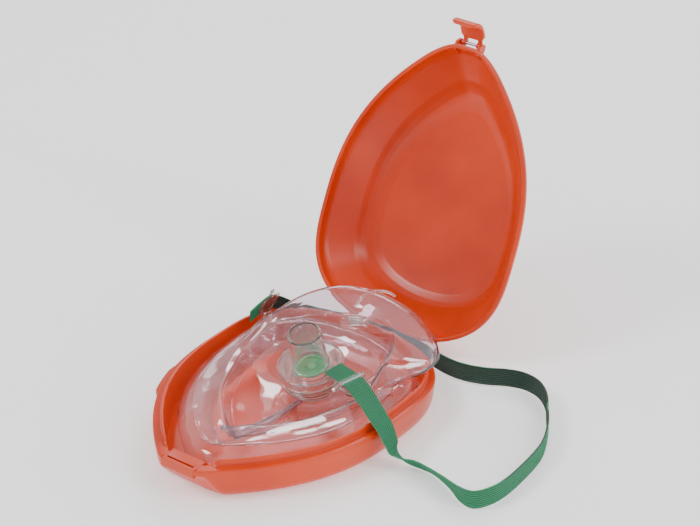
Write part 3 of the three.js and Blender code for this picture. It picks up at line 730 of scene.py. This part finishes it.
inlet = {"foot": Vector((7.8, 57.8, 30.8)), "axis": Vector((-10.4, -9.1, 0.8)).normalized()}
inletFrame = Matrix.Translation(inlet["foot"]) @ Vector((0, 0, 1)).rotation_difference(inlet["axis"]).to_matrix().to_4x4()
nippleProfile = [(1.1, 0), (3, 0), (2.8, 0.8), (2.2, 1.8), (2, 3), (2.05, 3.4), (2, 8.4), (1.1, 8.4)]
inletPiece = turned("inlet_nipple", softened(nippleProfile, 0.2), rigidClear, inletFrame, 48)
capProfile = [(2.3, 4), (4.1, 4), (4.3, 4.5), (4.2, 5.2), (4.35, 5.6), (4.4, 12), (3.9, 12.6), (0.01, 12.6), (0.01, 9),
              (2.3, 9)]
capPiece = turned("inlet_cap_piece", softened(capProfile, 0.2), rigidClear, inletFrame, 64)
tetherLine = [(3.3, 54.6, 38.5), (4.6, 57.6, 43.2), (8.2, 62.4, 45.6), (12.6, 67.5, 44.6), (15.4, 70.2, 42)]
tetherPiece = tube("tether", tetherLine, 0.75, rigidClear)
print("inlet made")


# Each stop: place, then the direction of the band's width.
strapRoute = [
    ((13.6, 22.6, 24), (0.3, 0.95, 0.2)), ((22, 19.6, 25.2), (0.35, 0.93, 0.2)),
    ((32, 15.5, 26.2), (0.46, 0.87, 0.18)), ((40, 11, 26), (0.45, 0.88, 0.12)),
    ((48, 6.4, 25), (0.35, 0.93, 0)), ((54.5, 3, 23.2), (0.2, 0.98, 0)), ((60, 1.4, 19.6), (0.1, 0.99, 0)),
    ((63.2, 1.4, 13.6), (0.05, 0.85, -0.3)), ((65.4, 2, 8.6), (0, 0.7, -0.6)),
    ((69.6, 3.4, 5), (-0.1, 0.7, -0.7)), ((76.8, 4.6, 4.6), (0.2, 0.6, -0.75)),
    ((84, 4, 4.6), (0.2, 0.59, -0.78)), ((94.5, 0.2, 5.3), (0.15, 0.45, -0.88)),
    ((105, -4.2, 5.6), (0.05, 0.2, -1)), ((112.5, -4, 5.6), (0, 0.05, -1)), ((117, 3.2, 5.6), (0, 0, -1)),
    ((118.8, 12.9, 5.6), (0, 0, -1)), ((118.6, 26, 5.6), (0, 0, -1)), ((117.1, 41.6, 5.6), (0, 0, -1)),
    ((114.3, 52, 5.6), (0, 0, -1)), ((108.4, 64.3, 5.6), (0, 0, -1)), ((102.5, 73.4, 5.6), (0, 0, -1)),
    ((95.7, 83.2, 5.6), (0, 0, -1)), ((87.5, 90, 5.6), (0, 0, -1)), ((78.5, 92.2, 5.6), (0, 0, -1)),
    ((70, 89.6, 6), (0, 0, -1)), ((60, 83.6, 6.4), (0, 0, -1)),
    ((50, 80.2, 6.6), (0, 0, -1)), ((40, 79.6, 7), (0, 0, -1)), ((27, 81.4, 7.8), (0, 0, -1)),
    ((13, 82.6, 8.2), (0, 0, -1)), ((0, 82.8, 8.2), (0, 0, -1)), ((-14, 82.4, 8.2), (0, 0, -1)),
    ((-28, 79.6, 8.6), (0, 0, -1)), ((-39, 72.4, 11.4), (-0.1, 0, -1)), ((-45.4, 62.6, 17.4), (-0.24, 0.05, -0.97)),
    ((-46.4, 54, 23.6), (-0.3, 0.08, -0.95)), ((-45.4, 47, 27.6), (-0.34, 0.1, -0.94)),
    ((-44.8, 40.5, 28), (-0.34, 0.1, -0.94)), ((-45.6, 34, 25.8), (-0.34, 0.1, -0.94)),
]
strap = {"width": 10.0, "thick": 1.0, "ribs": 9}


def strapFrames(steps):
    places = [place for place, way in strapRoute]
    ways = [way for place, way in strapRoute]
    frames = []
    for k in range(steps + 1):
        t = k / steps
        here = catmull(places, t)
        along = (catmull(places, min(1.0, t + 0.0015)) - catmull(places, max(0.0, t - 0.0015))).normalized()
        across = catmull(ways, t)
        across = (across - along * across.dot(along)).normalized()
        frames.append((here, along, across, along.cross(across)))
    return frames


strapLine = strapFrames(620)


# Ribbed band; past the case its inner face takes a darker copy of the elastic, painted shade.
def makeStrap():
    cells = 54
    rings = []
    for here, along, across, up in strapLine:
        ring = []
        for side in (1, -1):
            for c in range(cells + 1):
                u = c / cells
                s = (u - 0.5) * side
                rib = 0.09 * math.cos(2 * math.pi * strap["ribs"] * (s + 0.5))
                edge = 1 - 0.35 * smooth(0.44, 0.5, abs(s))
                out = strap["thick"] / 2 * edge - 0.06 + rib
                ring.append(here + across * (s * (strap["width"] - 0.3)) + up * side * out)
        rings.append(ring)
    obj = loft("head_strap_band", rings, strapElastic, sharp=60)
    obj.data.materials.append(strapShadedCopy)
    count = 2 * (cells + 1)
    for face in obj.data.polygons:
        here, along, across, up = strapLine[min(face.vertices) // count]
        # Inner faces past the case take the darker copy: painted shade.
        if 250 < min(face.vertices) // count < 602 and (face.center - here * mm).dot(up) > 0:
            face.material_index = 1
    layer = obj.data.uv_layers.new(name="band")
    lengths = [0.0]
    for k in range(1, len(strapLine)):
        lengths.append(lengths[-1] + (strapLine[k][0] - strapLine[k - 1][0]).length)
    for loop in obj.data.loops:
        ringIndex, c = divmod(loop.vertex_index, count)
        if ringIndex < len(lengths):
            u = (c if c <= cells else count - 1 - c) / cells
            layer.data[loop.index].uv = (u, lengths[ringIndex])
    return obj, lengths[-1]


strapPiece, strapLength = makeStrap()


# A lug on the dome: rounded tab under the band, thin walls and a bar over it.
def makeLug(name, step, facing):
    place, way = (Vector(v) for v in strapRoute[step])
    along = (Vector(strapRoute[step + 1][0]) - Vector(strapRoute[step - 1][0])).normalized()
    across = (way - along * way.dot(along)).normalized() * facing
    up = along.cross(across)
    half = strap["width"] / 2 + 1.6
    edge = [(-3, -half), (1.5, -half)]
    edge += [(1.5 + half * math.cos(a), half * math.sin(a)) for a in (math.pi * (k / 24 - 0.5) for k in range(1, 24))]
    edge += [(1.5, half), (-3, half)]
    tab = bevelled(loft("tab", [[(x, y, z) for x, y in edge] for z in (-2.4, -1.1)], rigidClear, sharp=25), 0.3)
    bar = bevelled(boxBetween("bar", (-3.8, -half, 1.1), (-1.6, half, 2.1), rigidClear), 0.35)
    posts = [bevelled(boxBetween("post", (-3.8, low, -2.2), (-1.6, high, 2.1), rigidClear), 0.3)
             for low, high in ((-half, -half + 1.1), (half - 1.1, half))]
    lug = oneOf(name, tab, bar, *posts)
    turn = Matrix((along, across, up)).transposed().to_4x4()
    lug.data.transform(Matrix.Translation(place * mm) @ turn)
    return lug


nearLugPiece = makeLug("near_lug", 2, 1)
farLugPiece = makeLug("far_lug", len(strapRoute) - 3, -1)
print("strap made")


# Pale matt table, lightly self-lit so that it stays near white.
floorMaterial, floorTree, floorOutput = newMaterial("pale_table")
finishWith(floorTree, floorOutput, put(floorTree, "ShaderNodeBsdfPrincipled", {
    "Base Color": (0.93, 0.93, 0.93, 1), "Roughness": 0.8,
    "Emission Color": (1, 1, 1, 1), "Emission Strength": 0.45}))
sweep = []
for k in range(25):
    turn = math.pi / 2 * max(0.0, (k - 8) / 16)
    sweep.append((900 + 900 * math.sin(turn), 900 - 900 * math.cos(turn)) if k >= 8 else (-2500 + 3400 * k / 8, 0))
sweep.append((1800, 4000))
floorRings = [[(x, y, z - 0.05) for y, z in sweep] for x in (-4000, 4000)]
floorFaces = [(i, i + 1, len(sweep) + i + 1, len(sweep) + i) for i in range(len(sweep) - 1)]
floor = pointsToMesh("floor", floorRings[0] + floorRings[1], floorFaces, floorMaterial)
floor.data.transform(Matrix.Rotation(-math.radians(38), 4, "Z"))

world = bpy.data.worlds.new("studio")
world.use_nodes = True
world.node_tree.nodes["Background"].inputs["Color"].default_value = (1, 1, 1, 1)
world.node_tree.nodes["Background"].inputs["Strength"].default_value = 0.75
bpy.context.scene.world = world


def softbox(name, place, size, power):
    data = bpy.data.lights.new(name, "AREA")
    data.shape = "RECTANGLE"
    data.size, data.size_y = size
    data.energy = power
    light = bpy.data.objects.new(name, data)
    bpy.context.collection.objects.link(light)
    light.location = place
    light.rotation_euler = (Vector((0, 0.02, 0.03)) - light.location).to_track_quat("-Z", "Y").to_euler()
    return light


softbox("key_softbox", (-0.55, -0.75, 1.05), (0.4, 0.3), 8)
softbox("side_softbox", (1.0, 0.15, 0.75), (0.12, 0.8), 3.5)
softbox("back_softbox", (-0.35, 0.9, 0.9), (0.8, 0.14), 4)

rides = [
    (trayPiece, "tray", "orange_shell", ["case_tray"]), (hingePinPiece, "tray", "pin_steel", ["hinge_pin"]),
    (lidPiece, "lid", "orange_shell", ["case_lid"]), (latchPinPiece, "lid", "pin_steel", ["latch_pin"]),
    (latchPiece, "latch", "orange_shell", ["latch"]), (cuffPiece, "mask", "clear_soft", ["mask_cuff"]),
    (domePiece, "mask", "clear_soft", ["mask_dome"]), (nearLugPiece, "mask", "clear_soft", ["near_strap_lug"]),
    (farLugPiece, "mask", "clear_soft", ["far_strap_lug"]), (inletPiece, "mask", "clear_soft", ["gas_inlet"]),
    (capPiece, "cap", "clear_soft", ["inlet_cap"]), (tetherPiece, "mask", "clear_soft", ["cap_tether"]),
    (mouthpiecePiece, "valve", "clear_rigid", ["mouthpiece"]),
    (connectorPiece, "valve", "clear_rigid", ["valve_connector"]),
    (flapStopPiece, "valve", "green_silicone", ["flap_stop"]), (flapPiece, "flap", "green_silicone", ["valve_flap"]),
    (strapPiece, "mask", "green_elastic", ["head_strap"]),
]
for piece, body, slotName, nodes in rides:
    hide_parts(*nodes)
    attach(piece, body)
# Each piece in this list gets a mesh of its own; the number beside it is not used here.
pressed = ((domePiece, 0.5), (nearLugPiece, 0.55), (farLugPiece, 0.55), (strapPiece, 0.55), (tetherPiece, 0.42))
for piece, keep in pressed:
    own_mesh(piece)

print("strap length", strapLength)
